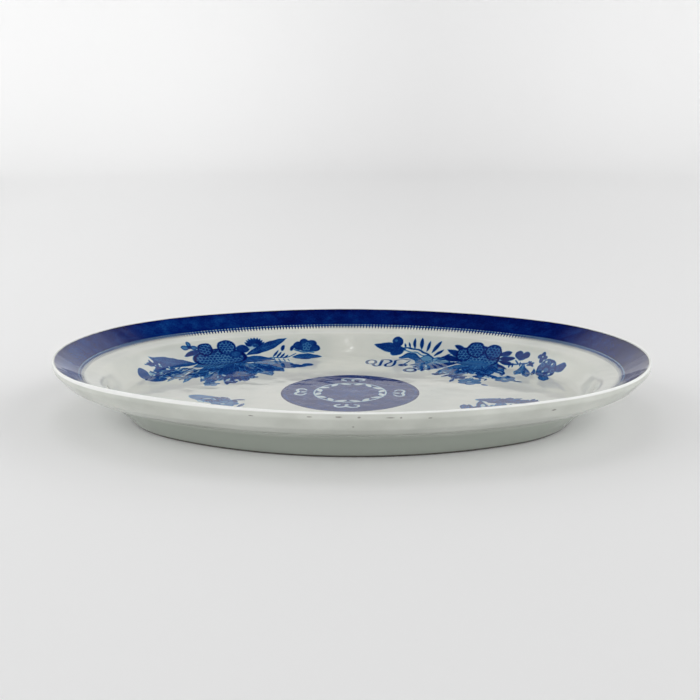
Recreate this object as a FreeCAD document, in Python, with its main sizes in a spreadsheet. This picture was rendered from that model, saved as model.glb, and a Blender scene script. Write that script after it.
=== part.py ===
import FreeCAD, Part
import os

import Sketcher

# Oval serving platter in underglaze-blue porcelain, about 46 x 34 x 4.6 cm.
#
# Frame: millimetres, +Z up, X along the long side of the oval. The origin is at the centre of the
# oval, on the surface that the foot ring stands on.
#
# The outline is a four-centre oval: an end arc at each end of the long axis and a side arc on each
# long side. The arcs meet at 60 degrees, where both share one radius line, so the outline has no
# corner. Every round piece has one cross-section, given as corners of (inset, height): inset is the
# distance inwards from the rim's outline and height is Z. The cross-section is turned about the
# centre of each arc, so it is the same all the way round.

SIZES = (
    ("half_length", 230.0, "half the length over the rim"),
    ("end_radius", 149.0, "radius of the two end arcs of the outline"),
    ("glaze", 0.5, "thickness of the glaze, measured upright on both faces"),
    ("rim_corner", 47.15, "height where the flange's line meets the rim's outer face"),
    ("lip_radius", 1.0, "rounding of the lip over the rim corner"),
    ("under_corner", 41.5, "height where the underside's line meets the rim's outer face"),
    ("under_radius", 3.0, "rounding below the lip"),
    ("bulge_inset", 8.0, "where the underside's steep edge turns into its long slope"),
    ("bulge_height", 32.3, "height of that turn"),
    ("bulge_radius", 12.0, "rounding over that turn"),
    ("belly_inset", 22.0, "where the long slope grows flatter"),
    ("belly_height", 24.2, "height of that change"),
    ("belly_radius", 60.0, "rounding over that change"),
    ("flange_inset", 25.0, "where the sloping flange ends and the level shoulder starts"),
    ("flange_foot", 32.0, "height at the inner edge of the flange"),
    ("flange_radius", 8.0, "easing between flange and shoulder"),
    ("well_inset", 37.0, "top edge of the well"),
    ("well_edge", 30.5, "height of the well's top edge"),
    ("well_radius", 12.0, "rounding over the well's top edge"),
    ("floor_inset", 50.0, "where the wall of the well reaches the floor"),
    ("floor_height", 13.0, "top of the floor"),
    ("floor_radius", 8.0, "easing between the well's wall and the floor"),
    ("wall_inset", 38.0, "where the flange's underside meets the outer wall"),
    ("wall_height", 18.0, "height of that line"),
    ("wall_radius", 8.0, "easing along that line"),
    ("foot_height", 6.0, "height of the foot ring and of the recess inside it"),
    ("foot_top", 48.5, "inset of the glazed wall where the foot ring is luted on"),
    ("foot_edge", 53.6, "outer edge of the foot ring's standing face"),
    ("foot_inner", 60.0, "inner edge of the foot ring's standing face"),
    ("foot_root", 62.0, "inner edge of the foot ring under the floor"),
    ("glaze_stop", 0.9, "height of the bare edge left round the foot ring"),
    ("stop_inset", 52.4, "inset of the glaze where it stops above the bare edge"),
    ("band_start", 1.8, "outer edge of the blue border band"),
    ("band_end", 19.0, "inner edge of the blue border band"),
    ("line_start", 19.9, "outer edge of the blue line inside the band"),
    ("line_end", 20.9, "inner edge of the blue line"),
    ("row_start", 21.1, "outer edge of the row of spearheads"),
    ("row_end", 23.4, "inner edge of the row of spearheads"),
    ("medallion", 54.5, "radius of the round medallion"),
    ("reserve_outer", 29.5, "outer radius of the medallion's white ring"),
    ("reserve_inner", 27.5, "inner radius of the medallion's white ring"),
    ("scroll_radius", 6.0, "outer radius of the medallion's white scrolls"),
    ("scroll_hollow", 4.6, "radius of the round that hollows a scroll into a crescent"),
    ("scroll_place", 38.0, "distance of each scroll from the centre"),
    ("peony", 9.0, "radius of a large flower head"),
    ("blossom", 6.5, "radius of a small flower head"),
    ("foliage", 27.0, "radius of the mass of small leaves"),
    ("leaf_length", 44.0, "length of a long leaf"),
    ("leaf_width", 10.0, "width of a long leaf"),
    ("sprig_length", 25.0, "length of a short leaf"),
    ("sprig_width", 7.0, "width of a short leaf"),
)

END_OFFSET = "(Size.half_length - Size.end_radius)"
SIDE_OFFSET = f"(sqrt(3) * {END_OFFSET})"
SIDE_RADIUS = f"(Size.end_radius + 2 * {END_OFFSET})"
HALF_WIDTH = f"({SIDE_RADIUS} - {SIDE_OFFSET})"
CENTRE = "centre"

# Each sector of the oval: its sketch plane, how far the arc's centre lies along that plane, the
# arc's radius, the inset that reaches the middle of the piece, and the angle that the arc spans.
SECTORS = (
    ("end", "XZ_Plane", END_OFFSET, "Size.end_radius", "Size.end_radius", 120),
    ("side", "YZ_Plane", f"-{SIDE_OFFSET}", SIDE_RADIUS, HALF_WIDTH, 60),
)

# Flower heads and leaves of the two sprays on one long side, by where they lie on the platter:
# ("head", size, x, y) and ("leaf", length, width, x, y, direction in degrees).
LEFT_SPRAY = (
    ("head", "Size.foliage", -118, 58),
    ("head", "Size.peony", -132, 91),
    ("head", "Size.peony", -115, 100),
    ("head", "Size.peony", -92, 111),
    ("head", "Size.blossom", -46, 121),
    ("head", "Size.blossom", -171, 42),
    ("leaf", "Size.leaf_length", "Size.leaf_width", -154, 68, 29),
    ("leaf", "Size.leaf_length", "Size.leaf_width", -78, 108, 26),
    ("leaf", "Size.sprig_length", "Size.sprig_width", -54, 104, 20),
    ("leaf", "Size.sprig_length", "Size.sprig_width", -66, 86, 5),
)
RIGHT_SPRAY = (
    ("head", "Size.foliage", 112, 64),
    ("head", "Size.peony", 104, 108),
    ("head", "Size.peony", 120, 99),
    ("head", "Size.blossom", 139, 88),
    ("head", "Size.blossom", 160, 66),
    ("head", "Size.blossom", 36, 125),
    ("head", "Size.peony", 58, 118),
    ("leaf", "Size.leaf_length", "Size.leaf_width", 68, 98, -28),
    ("leaf", "Size.sprig_length", "Size.sprig_width", 24, 96, 0),
    ("leaf", "Size.sprig_length", "Size.sprig_width", 50, 78, -35),
    ("leaf", "Size.sprig_length", "Size.sprig_width", 151, 80, -40),
)

doc = FreeCAD.newDocument("serving_platter")


def make_sheet():
    """The driving dimensions, one per row, each with an alias."""
    sheet = doc.addObject("Spreadsheet::Sheet", "Size")
    for row, (alias, value, meaning) in enumerate(SIZES, start=1):
        sheet.set(f"A{row}", meaning)
        sheet.set(f"B{row}", str(value))
        sheet.setAlias(f"B{row}", alias)
    doc.recompute()
    return sheet


def flange_at(inset):
    """Height of the glazed flange at an inset."""
    return f"(Size.rim_corner - {inset} * (Size.rim_corner - Size.flange_foot) / Size.flange_inset)"


def origin_feature(body, role):
    """A plane or axis of the body's own origin."""
    return next(item for item in body.Origin.OriginFeatures if item.Role == role)


def cross_section(body, sector, corners):
    """The closed cross-section of an oval piece, in the upright plane of one arc.

    In the sketch, x is the distance from the arc's centre and y is the height. A corner is
    (inset, height) or (inset, height, rounding).
    """
    name, plane, offset, arc_radius, centre_inset, _ = sector
    sketch = body.newObject("Sketcher::SketchObject", f"{body.Name}_{name}_section")
    sketch.AttachmentSupport = [(origin_feature(body, plane), "")]
    sketch.MapMode = "FlatFace"
    sketch.setExpression("AttachmentOffset.Base.x", offset)
    places = []
    for inset, height, *_ in corners:
        reach = centre_inset if inset == CENTRE else inset
        places.append((f"{arc_radius} - ({reach})", height))
    points = []
    for across, height in places:
        across_now = float(sketch.evalExpression(across))
        height_now = float(sketch.evalExpression(height))
        points.append(FreeCAD.Vector(across_now, height_now, 0))
    count = len(points)
    for index in range(count):
        sketch.addGeometry(Part.LineSegment(points[index], points[(index + 1) % count]), False)
    for index in range(count):
        sketch.addConstraint(Sketcher.Constraint("Coincident", index, 2, (index + 1) % count, 1))
    for index, (across, height) in enumerate(places):
        bind(sketch, "DistanceX", index, points[index].x, f"across_{index}", across)
        bind(sketch, "DistanceY", index, points[index].y, f"height_{index}", height)
    for index, (_, _, *rounding) in enumerate(corners):
        if rounding:
            round_corner(sketch, index, points, rounding[0])
    return sketch


def bind(sketch, kind, line, value, name, expression):
    """Fix the start of a line from the sketch's origin, at what the sheet says."""
    if abs(value) < 1e-9:
        axis = -2 if kind == "DistanceX" else -1
        sketch.addConstraint(Sketcher.Constraint("PointOnObject", line, 1, axis))
        return
    constraint = sketch.addConstraint(Sketcher.Constraint(kind, -1, 1, line, 1, value))
    sketch.renameConstraint(constraint, name)
    sketch.setExpression(f"Constraints.{name}", expression)


def round_corner(sketch, index, points, expression):
    """Replace the corner at the start of a line with a tangent arc, keeping the corner's place."""
    radius = float(sketch.evalExpression(expression))
    count = len(points)
    before = (index - 1) % count
    corner = points[index]
    near_before = corner + (points[before] - corner) * 0.1
    near_after = corner + (points[(index + 1) % count] - corner) * 0.1
    sketch.fillet(before, index, near_before, near_after, radius, True, True)
    arc = next(
        number for number, shape in reversed(list(enumerate(sketch.Geometry)))
        if shape.TypeId == "Part::GeomArcOfCircle"
    )
    constraint = sketch.addConstraint(Sketcher.Constraint("Radius", arc, radius))
    sketch.renameConstraint(constraint, f"rounding_{index}")
    sketch.setExpression(f"Constraints.rounding_{index}", expression)


def oval_piece(label, corners):
    """A piece with one cross-section all the way round the oval."""
    body = doc.addObject("PartDesign::Body", label)
    turned = []
    for sector in SECTORS:
        sketch = cross_section(body, sector, corners)
        turn = body.newObject("PartDesign::Revolution", f"{label}_{sector[0]}")
        turn.Profile = sketch
        turn.ReferenceAxis = (sketch, ["V_Axis"])
        turn.Angle = sector[-1]
        turn.Midplane = True
        doc.recompute()
        turned.append(turn)
    pair = body.newObject("PartDesign::PolarPattern", f"{label}_pair")
    pair.Originals = turned
    pair.Axis = (origin_feature(body, "Z_Axis"), [""])
    pair.Angle = 360
    pair.Occurrences = 2
    body.Tip = pair
    doc.recompute()
    return body


def flange_ring(label, start, end):
    """A flat ring of glaze that lies on the flange between two insets."""
    return oval_piece(label, (
        (start, flange_at(start)),
        (end, flange_at(end)),
        (end, f"{flange_at(end)} - Size.glaze"),
        (start, f"{flange_at(start)} - Size.glaze"),
    ))


def make_porcelain_body():
    """The pressed dish: floor, well wall, shoulder, flange and rim, without glaze or foot."""
    return oval_piece("porcelain_body", (
        (CENTRE, "Size.floor_height - Size.glaze"),
        ("Size.floor_inset", "Size.floor_height - Size.glaze", "Size.floor_radius"),
        ("Size.well_inset", "Size.well_edge - Size.glaze", "Size.well_radius"),
        ("Size.flange_inset", "Size.flange_foot - Size.glaze", "Size.flange_radius"),
        ("Size.glaze", f"{flange_at('Size.glaze')} - Size.glaze", "Size.lip_radius - Size.glaze"),
        ("Size.glaze", "Size.under_corner + Size.glaze", "Size.under_radius - Size.glaze"),
        ("Size.bulge_inset", "Size.bulge_height + Size.glaze", "Size.bulge_radius"),
        ("Size.belly_inset", "Size.belly_height + Size.glaze", "Size.belly_radius"),
        ("Size.wall_inset", "Size.wall_height + Size.glaze", "Size.wall_radius"),
        ("Size.foot_top + Size.glaze", "Size.foot_height"),
        (CENTRE, "Size.foot_height"),
    ))


def make_foot_ring():
    """The low ring luted under the dish, bare of glaze where it stands."""
    return oval_piece("foot_ring", (
        ("Size.foot_top + Size.glaze", "Size.foot_height"),
        ("Size.foot_edge", "0"),
        ("Size.foot_inner", "0"),
        ("Size.foot_root", "Size.foot_height"),
    ))


def make_back_glaze():
    """The glaze over the lip, the flange's underside and the outer wall, down to the bare edge."""
    rise = "(Size.foot_height - Size.glaze_stop) / Size.foot_height"
    bare_inset = f"Size.foot_top + Size.glaze + {rise} * (Size.foot_edge - Size.foot_top - Size.glaze)"
    return oval_piece("back_glaze", (
        ("Size.band_start", flange_at("Size.band_start")),
        ("0", "Size.rim_corner", "Size.lip_radius"),
        ("0", "Size.under_corner", "Size.under_radius"),
        ("Size.bulge_inset", "Size.bulge_height", "Size.bulge_radius"),
        ("Size.belly_inset", "Size.belly_height", "Size.belly_radius"),
        ("Size.wall_inset", "Size.wall_height", "Size.wall_radius"),
        ("Size.foot_top", "Size.foot_height"),
        ("Size.stop_inset", "Size.glaze_stop"),
        (bare_inset, "Size.glaze_stop"),
        ("Size.foot_top + Size.glaze", "Size.foot_height"),
        ("Size.wall_inset", "Size.wall_height + Size.glaze", "Size.wall_radius"),
        ("Size.belly_inset", "Size.belly_height + Size.glaze", "Size.belly_radius"),
        ("Size.bulge_inset", "Size.bulge_height + Size.glaze", "Size.bulge_radius"),
        ("Size.glaze", "Size.under_corner + Size.glaze", "Size.under_radius - Size.glaze"),
        ("Size.glaze", f"{flange_at('Size.glaze')} - Size.glaze", "Size.lip_radius - Size.glaze"),
        ("Size.band_start", f"{flange_at('Size.band_start')} - Size.glaze"),
    ))


def make_well_coat():
    """The whole coat of glaze inside the border, before the painted parts are taken from it."""
    return oval_piece("well_coat", (
        ("Size.row_end", flange_at("Size.row_end")),
        ("Size.flange_inset", "Size.flange_foot", "Size.flange_radius"),
        ("Size.well_inset", "Size.well_edge", "Size.well_radius"),
        ("Size.floor_inset", "Size.floor_height", "Size.floor_radius"),
        (CENTRE, "Size.floor_height"),
        (CENTRE, "Size.floor_height - Size.glaze"),
        ("Size.floor_inset", "Size.floor_height - Size.glaze", "Size.floor_radius"),
        ("Size.well_inset", "Size.well_edge - Size.glaze", "Size.well_radius"),
        ("Size.flange_inset", "Size.flange_foot - Size.glaze", "Size.flange_radius"),
        ("Size.row_end", f"{flange_at('Size.row_end')} - Size.glaze"),
    ))


def column(radius, x=0, y=0):
    """An upright round column through the whole height of the platter."""
    cylinder = doc.addObject("Part::Cylinder", "column")
    cylinder.setExpression("Radius", radius)
    cylinder.setExpression("Height", "Size.rim_corner")
    cylinder.Placement = FreeCAD.Placement(FreeCAD.Vector(x, y, 0), FreeCAD.Rotation())
    return cylinder


def leaf_column(length, width, x, y, direction):
    """An upright column with a leaf's pointed outline, where two round columns overlap."""
    radius = f"({length}^2 + {width}^2) / (4 * {width})"
    halves = []
    for side in ("", "-"):
        half = column(radius)
        half.setExpression("Placement.Base.y", f"{side}({radius} - {width} / 2)")
        halves.append(half)
    leaf = doc.addObject("Part::Common", "leaf")
    leaf.Base, leaf.Tool = halves
    turn = FreeCAD.Rotation(FreeCAD.Vector(0, 0, 1), direction)
    leaf.Placement = FreeCAD.Placement(FreeCAD.Vector(x, y, 0), turn)
    return leaf


def joined(label, pieces):
    """Several columns as one tool."""
    group = doc.addObject("Part::MultiFuse", label)
    group.Shapes = pieces
    return group


def cut_from(label, base, tool):
    """What is left of the base outside the tool."""
    rest = doc.addObject("Part::Cut", label)
    rest.Base = base
    rest.Tool = tool
    return rest


def inlay(label, coat, tool):
    """The part of the well's coat inside a column, through its full thickness."""
    part = doc.addObject("Part::Common", label)
    part.Base = coat
    part.Tool = tool
    return part


def scroll_columns():
    """Four crescents round the medallion's white ring, each hollowed on its outer side."""
    crescents = []
    for quarter in range(4):
        full = column("Size.scroll_radius")
        full.setExpression("Placement.Base.x", "Size.scroll_place")
        hollow = column("Size.scroll_hollow")
        hollow.setExpression("Placement.Base.x", "Size.scroll_place + Size.scroll_radius / 2")
        crescent = cut_from("crescent", full, hollow)
        turn = FreeCAD.Rotation(FreeCAD.Vector(0, 0, 1), 90 * quarter)
        crescent.Placement = FreeCAD.Placement(FreeCAD.Vector(0, 0, 0), turn)
        crescents.append(crescent)
    return joined("scroll_columns", crescents)


def spray_columns(label, motifs, turned):
    """The columns of one spray; a turned spray is the same one turned half way round."""
    side = -1 if turned else 1
    columns = []
    for kind, *details in motifs:
        if kind == "head":
            size, x, y = details
            columns.append(column(size, side * x, side * y))
        else:
            length, width, x, y, direction = details
            columns.append(leaf_column(length, width, side * x, side * y, direction))
    return joined(f"{label}_columns", columns)


def make_well_pieces():
    """The clear glaze of the well and everything painted on its wall and floor."""
    coat = make_well_coat()
    disc = column("Size.medallion")
    ring = cut_from("ring_column", column("Size.reserve_outer"), column("Size.reserve_inner"))
    scrolls = scroll_columns()
    reserves = joined("reserve_columns", [ring, scrolls])
    pieces = [
        inlay("medallion_ground", coat, cut_from("ground_column", disc, reserves)),
        inlay("medallion_reserve_ring", coat, ring),
        inlay("medallion_reserve_scrolls", coat, scrolls),
    ]
    tools = [disc]
    sprays = (
        ("spray_back_left", LEFT_SPRAY, False),
        ("spray_back_right", RIGHT_SPRAY, False),
        ("spray_front_right", LEFT_SPRAY, True),
        ("spray_front_left", RIGHT_SPRAY, True),
    )
    for label, motifs, turned in sprays:
        tool = spray_columns(label, motifs, turned)
        pieces.append(inlay(label, coat, tool))
        tools.append(tool)
    pieces.append(cut_from("well_glaze", coat, joined("painted_columns", tools)))
    return pieces


def write_parts(pieces):
    """Check the document and every piece, then write one file per piece."""
    doc.recompute()
    for item in doc.Objects:
        if "Invalid" in item.State or "Error" in item.State:
            raise RuntimeError(f"{item.Label} is in state {item.State}")
    for piece in pieces:
        if piece.Shape.isNull() or not piece.Shape.isValid():
            raise RuntimeError(f"{piece.Label} has no valid shape")
        if not piece.Shape.Solids:
            raise RuntimeError(f"{piece.Label} holds no solid")
    os.makedirs("parts", exist_ok=True)
    for piece in pieces:
        piece.Shape.exportStep(f"parts/{piece.Label}.step")
        box = piece.Shape.BoundBox
        print(
            f"{piece.Label}: {len(piece.Shape.Solids)} solid(s), {piece.Shape.Volume:.0f} mm3,"
            f" {box.XLength:.1f} x {box.YLength:.1f} x {box.ZLength:.1f}"
        )


make_sheet()
write_parts([
    make_porcelain_body(),
    make_foot_ring(),
    make_back_glaze(),
    flange_ring("border_band", "Size.band_start", "Size.band_end"),
    flange_ring("border_gap_glaze", "Size.band_end", "Size.line_start"),
    flange_ring("border_line", "Size.line_start", "Size.line_end"),
    flange_ring("spearhead_gap_glaze", "Size.line_end", "Size.row_start"),
    flange_ring("spearhead_row", "Size.row_start", "Size.row_end"),
    *make_well_pieces(),
])
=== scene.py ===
import functools
import math

import bpy
import numpy as np
from mathutils import Matrix, Vector


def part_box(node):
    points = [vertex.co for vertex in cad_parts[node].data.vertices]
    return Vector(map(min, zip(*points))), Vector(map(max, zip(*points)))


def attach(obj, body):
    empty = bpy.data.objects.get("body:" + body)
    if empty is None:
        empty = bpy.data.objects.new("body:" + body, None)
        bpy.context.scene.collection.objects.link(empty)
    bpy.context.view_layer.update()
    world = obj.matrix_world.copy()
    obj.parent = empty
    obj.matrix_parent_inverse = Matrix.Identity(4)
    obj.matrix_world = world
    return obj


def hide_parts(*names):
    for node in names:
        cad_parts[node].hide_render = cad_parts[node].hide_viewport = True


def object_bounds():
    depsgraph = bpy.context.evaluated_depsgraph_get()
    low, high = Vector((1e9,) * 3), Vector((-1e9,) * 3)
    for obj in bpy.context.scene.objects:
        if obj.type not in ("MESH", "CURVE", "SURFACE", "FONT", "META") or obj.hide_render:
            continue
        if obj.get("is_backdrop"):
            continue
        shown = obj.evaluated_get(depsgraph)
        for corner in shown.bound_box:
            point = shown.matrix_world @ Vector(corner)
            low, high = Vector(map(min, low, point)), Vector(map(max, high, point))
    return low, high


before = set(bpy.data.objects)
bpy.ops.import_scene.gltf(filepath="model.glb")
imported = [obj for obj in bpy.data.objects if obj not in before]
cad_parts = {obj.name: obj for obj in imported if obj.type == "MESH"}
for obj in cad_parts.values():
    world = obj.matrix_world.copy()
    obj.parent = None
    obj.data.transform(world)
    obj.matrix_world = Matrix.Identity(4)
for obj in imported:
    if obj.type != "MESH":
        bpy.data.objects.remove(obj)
cad_low, cad_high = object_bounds()

# Sizes are in millimetres and become metres when a mesh is written.
MM = 0.001

# The four-centre oval: round ends over 120 degrees, joined by flatter sides over 60 degrees.
HALF_LENGTH = round(cad_high.x / MM, 1)
HALF_WIDTH = round(cad_high.y / MM, 1)
END_OFFSET = (HALF_LENGTH - HALF_WIDTH) / (math.sqrt(3) - 1)
END_RADIUS = HALF_LENGTH - END_OFFSET
SIDE_OFFSET = END_OFFSET * math.sqrt(3)
SIDE_RADIUS = END_RADIUS + 2 * END_OFFSET
PERIMETER = 4 * END_RADIUS * math.pi / 3 + 2 * SIDE_RADIUS * math.pi / 3
STEPS = 720

# Corners of the section as (inset from the rim, height, rounding).
GLAZE = 0.5
FLOOR = round(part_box("well_glaze")[0].z / MM, 1) + GLAZE
FOOT_HEIGHT = round(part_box("porcelain_body")[0].z / MM, 1)
RIM_CORNER = (0.0, 47.15, 1.0)
UNDER_CORNER = (0.0, 41.5, 3.0)
UNDER_BULGE = (8.0, 32.3, 12.0)
UNDER_BELLY = (22.0, 24.2, 60.0)
FLANGE_FOOT = (25.0, 32.0, 8.0)
WELL_EDGE = (37.0, 30.5, 12.0)
FLOOR_CORNER = (50.0, FLOOR, 8.0)
FLAT_FLOOR = 58.0
OUTER_WALL = (38.0, 18.0, 8.0)
FOOT_TOP = (48.5, FOOT_HEIGHT)
FOOT_EDGE = (53.6, 0.0, 0.5)
FOOT_INNER = (60.0, 0.0, 0.8)
FOOT_ROOT = (62.0, FOOT_HEIGHT)
GLAZE_STOP = (52.4, 0.9)
# Where the clay's face and its side end under the glaze of the lip, and the lip's lower edge.
CLAY_TOP = (1.0, 45.5)
CLAY_SIDE = (0.0, RIM_CORNER[1] - 4)
LIP = RIM_CORNER[1] - 2.2
# Insets between which the bare clay next to the glaze is darkened nearly to black: partly burnt iron brown,
# partly painted shade where the foot meets the floor.
BURNT_AND_SHADED_EDGE = (55.3, 54.5)

# How often the parts of the border's pattern come round the dish.
TRELLIS = 360
CARTOUCHES = 14
SPEARHEADS = 440

# Borders between the painted rings of the flange, as insets.
BAND_START = 1.8
BAND_END = 19.0
LINE_START = 19.9
LINE_END = 20.9
ROW_START = 21.1
ROW_END = 23.4
MEDALLION = 54.5

# Hand work: the rim rises at the front left, and the foot is a little rounder than the rim.
RIM_RISE = 1.9
RIM_RISE_BEARING = math.radians(-124)
RIM_RISE_SPREAD = math.radians(26)
FOOT_SHORTER = 0.022
FOOT_WIDER = 0.040
# Waves round the rim as (height, number, phase), and ripples of the surface as (height, length, seed).
RIM_WAVES = ((0.3, 2, 0.6), (0.2, 3, 2.0))
RIPPLES = ((0.055, 46, 11), (0.030, 17, 12))
# Heights between which the foot's rounder form and the underside's smoothness fade out.
FOOT_FADE = (3.0, 17.0)
SMOOTH_FADE = (28.0, 68.0)

SHARP_EDGE = math.radians(38)


def flange_at(inset):
    """Height of the flange's straight slope at an inset."""
    fall = (RIM_CORNER[1] - FLANGE_FOOT[1]) / FLANGE_FOOT[0]
    return RIM_CORNER[1] - fall * inset


# ---- surfaces

def rounded(corners, step=0.7, stretch=2.0):
    """Points along straight runs whose corners are tangent arcs."""
    line = []
    for index, corner in enumerate(corners):
        here = np.array(corner[:2], float)
        if len(corner) < 3 or index in (0, len(corners) - 1):
            line.append(here)
            continue
        before = np.array(corners[index - 1][:2], float) - here
        after = np.array(corners[index + 1][:2], float) - here
        before /= np.linalg.norm(before)
        after /= np.linalg.norm(after)
        half = math.acos(np.clip(before @ after, -1, 1)) / 2
        middle = (before + after) / np.linalg.norm(before + after)
        centre = here + middle * corner[2] / math.sin(half)
        swing = math.pi / 2 - half
        count = max(3, math.ceil(2 * swing * corner[2] / step))
        side = before - middle * (before @ middle)
        side /= np.linalg.norm(side)
        for turn in np.linspace(swing, -swing, count + 1):
            line.append(centre - corner[2] * (middle * math.cos(turn) - side * math.sin(turn)))
    points = [line[0]]
    for end in line[1:]:
        start = points[-1]
        count = max(1, math.ceil(np.linalg.norm(end - start) / stretch))
        points += [start + (end - start) * part / count for part in range(1, count + 1)]
    return np.array(points)


def beside(line, distance):
    """The line moved sideways, to its left by a positive distance."""
    run = np.gradient(line, axis=0)
    run /= np.linalg.norm(run, axis=1)[:, None]
    return line + distance * np.column_stack([-run[:, 1], run[:, 0]])


def normal_angles():
    """Angles of the oval's normal at equal steps along the rim, from the right end."""
    end = END_RADIUS * math.pi / 3
    side = SIDE_RADIUS * math.pi / 3
    lengths = np.cumsum([0, end, side, 2 * end, side, end])
    angles = np.radians([0, 60, 120, 240, 300, 360])
    return np.interp(np.arange(STEPS) * PERIMETER / STEPS, lengths, angles)


ANGLES = normal_angles()


def oval_ring(inset, height):
    """A ring of points at one inset and height."""
    across, up = np.cos(ANGLES), np.sin(ANGLES)
    at_end = np.abs(across) >= 0.5
    radius = np.where(at_end, END_RADIUS, SIDE_RADIUS) - inset
    x = np.where(at_end, np.sign(across) * END_OFFSET, 0) + radius * across
    y = np.where(at_end, 0, -np.sign(up) * SIDE_OFFSET) + radius * up
    return np.column_stack([x, y, np.full(STEPS, float(height))])


def circle_ring(radius, height):
    """A ring of points round the centre, each facing the same way as the floor's edge."""
    edge = oval_ring(FLAT_FLOOR, height)
    bearing = np.arctan2(edge[:, 1] * edge[:, 0].max() / edge[:, 1].max(), edge[:, 0])
    return np.column_stack([radius * np.cos(bearing), radius * np.sin(bearing), edge[:, 2]])


def floor_rings(inset, inner_radius, height, count):
    """Rings that change from the oval at one inset to a circle in the middle."""
    outer, inner = oval_ring(inset, height), circle_ring(inner_radius, height)
    return [outer + (inner - outer) * part / count for part in range(1, count + 1)]


def waves(x, y, length, seed, count=7):
    """A smooth random surface between about -1 and 1, with waves of about one length."""
    draw = np.random.default_rng(seed)
    total = np.zeros_like(x)
    for _ in range(count):
        bearing, phase = draw.uniform(0, 2 * math.pi, 2)
        pitch = 2 * math.pi / (length * draw.uniform(0.7, 1.5))
        total += np.sin(pitch * (x * math.cos(bearing) + y * math.sin(bearing)) + phase)
    return total / math.sqrt(count)


def fade(value, full, gone):
    """One at the first limit, falling evenly to nothing at the second."""
    return np.clip((gone - value) / (gone - full), 0, 1)


def by_hand(points, under=0.0):
    """The unevenness that pressing, luting and firing leave in the true form.

    A point of the underside is marked with 1, and a point of the face with 0.
    """
    x, y, z = points.reshape(-1, 3).T.copy()
    rise = fade(z, RIM_CORNER[1] - RIM_CORNER[2], OUTER_WALL[1])
    bearing = np.arctan2(y / HALF_WIDTH, x / HALF_LENGTH)
    away = np.angle(np.exp(1j * (bearing - RIM_RISE_BEARING)))
    lift = RIM_RISE * np.exp(-(away / RIM_RISE_SPREAD) ** 2)
    lift += sum(height * np.cos(number * bearing + phase) for height, number, phase in RIM_WAVES)
    ripple = sum(height * waves(x, y, length, seed) for height, length, seed in RIPPLES)
    ripple *= 1 - under * fade(z, *SMOOTH_FADE)
    low = fade(z, *FOOT_FADE)
    low = under * low * low * (3 - 2 * low)
    z += lift * rise ** (1.5 + under) + ripple
    placed = np.column_stack([x * (1 - FOOT_SHORTER * low), y * (1 + FOOT_WIDER * low), z])
    return placed.reshape(points.shape)


# ---- meshes

def add_object(name, data):
    made = bpy.data.objects.new(name, data)
    bpy.context.scene.collection.objects.link(made)
    return made


def write_mesh(name, points, quads, triangles=None, ink=None, insets=None):
    """A closed mesh piece, faces outward, with the painting's strength at its points."""
    triangles = np.zeros((0, 3), int) if triangles is None else triangles
    soup = np.concatenate([quads[:, [0, 1, 2]], quads[:, [0, 2, 3]], triangles])
    a, b, c = points[soup[:, 0]], points[soup[:, 1]], points[soup[:, 2]]
    if np.einsum("ij,ij->", a, np.cross(b, c)) < 0:
        quads, triangles = quads[:, ::-1], triangles[:, ::-1]
    corners = np.concatenate([quads.ravel(), triangles.ravel()]).astype(np.int32)
    starts = np.concatenate([
        np.arange(len(quads)) * 4,
        len(quads) * 4 + np.arange(len(triangles)) * 3,
    ]).astype(np.int32)
    mesh = bpy.data.meshes.new(name)
    mesh.vertices.add(len(points))
    mesh.vertices.foreach_set("co", (points * MM).astype(np.float32).ravel())
    mesh.loops.add(len(corners))
    mesh.loops.foreach_set("vertex_index", corners)
    mesh.polygons.add(len(starts))
    mesh.polygons.foreach_set("loop_start", starts)
    mesh.update(calc_edges=True)
    mesh.shade_smooth()
    mesh.set_sharp_from_angle(angle=SHARP_EDGE)
    if ink is not None:
        mesh.attributes.new("ink", "FLOAT", "POINT").data.foreach_set("value", ink.astype(np.float32))
    if insets is not None:
        step = corners % STEPS
        turned = np.zeros(len(corners), bool)
        four = step[:len(quads) * 4].reshape(-1, 4)
        at_seam = (four == STEPS - 1).any(1)
        turned[:len(quads) * 4] = (at_seam[:, None] & (four == 0)).ravel()
        along = np.where(turned, STEPS, step) * PERIMETER / STEPS
        strip = np.column_stack([along, insets[corners], np.zeros(len(corners))])
        data = mesh.attributes.new("strip", "FLOAT_VECTOR", "CORNER").data
        data.foreach_set("vector", strip.astype(np.float32).ravel())
    return add_object(name, mesh)


def ring_quads(count, closed):
    """Quads between rings of points that are numbered one ring after another."""
    ring = np.arange(count if closed else count - 1)
    step = np.arange(STEPS)
    here = ring[:, None] * STEPS
    there = ((ring + 1) % count)[:, None] * STEPS
    after = (step + 1) % STEPS
    return np.stack([here + step, here + after, there + after, there + step], -1).reshape(-1, 4)


def loft(name, rings, insets, under=0.0):
    """A closed ring-shaped piece through rings of points, the last joined to the first."""
    points = np.concatenate(rings)
    points = by_hand(points, under * (points[:, 2] < LIP))
    quads = ring_quads(len(rings), True)
    return write_mesh(name, points, quads, insets=np.repeat(insets, STEPS))


def capped(name, rings, under=0, ink=None):
    """A closed piece through rings of points, whose first and last ring shrink to a point.

    The last rings, as many as `under` says, are those of the underside.
    """
    ends = [rings[0].mean(0, keepdims=True), rings[-1].mean(0, keepdims=True)]
    marks = np.repeat((np.arange(len(rings)) >= len(rings) - under).astype(float), STEPS)
    points = by_hand(np.concatenate(rings + ends), np.append(marks, [0, min(under, 1)]))
    step = np.arange(STEPS)
    after = (step + 1) % STEPS
    last = (len(rings) - 1) * STEPS
    first_tip = len(rings) * STEPS
    fans = np.concatenate([
        np.column_stack([after, step, np.full(STEPS, first_tip)]),
        np.column_stack([last + step, last + after, np.full(STEPS, first_tip + 1)]),
    ])
    if ink is not None:
        ink = ink(points[:, 0], points[:, 1])
    return write_mesh(name, points, ring_quads(len(rings), False), fans, ink)


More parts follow.
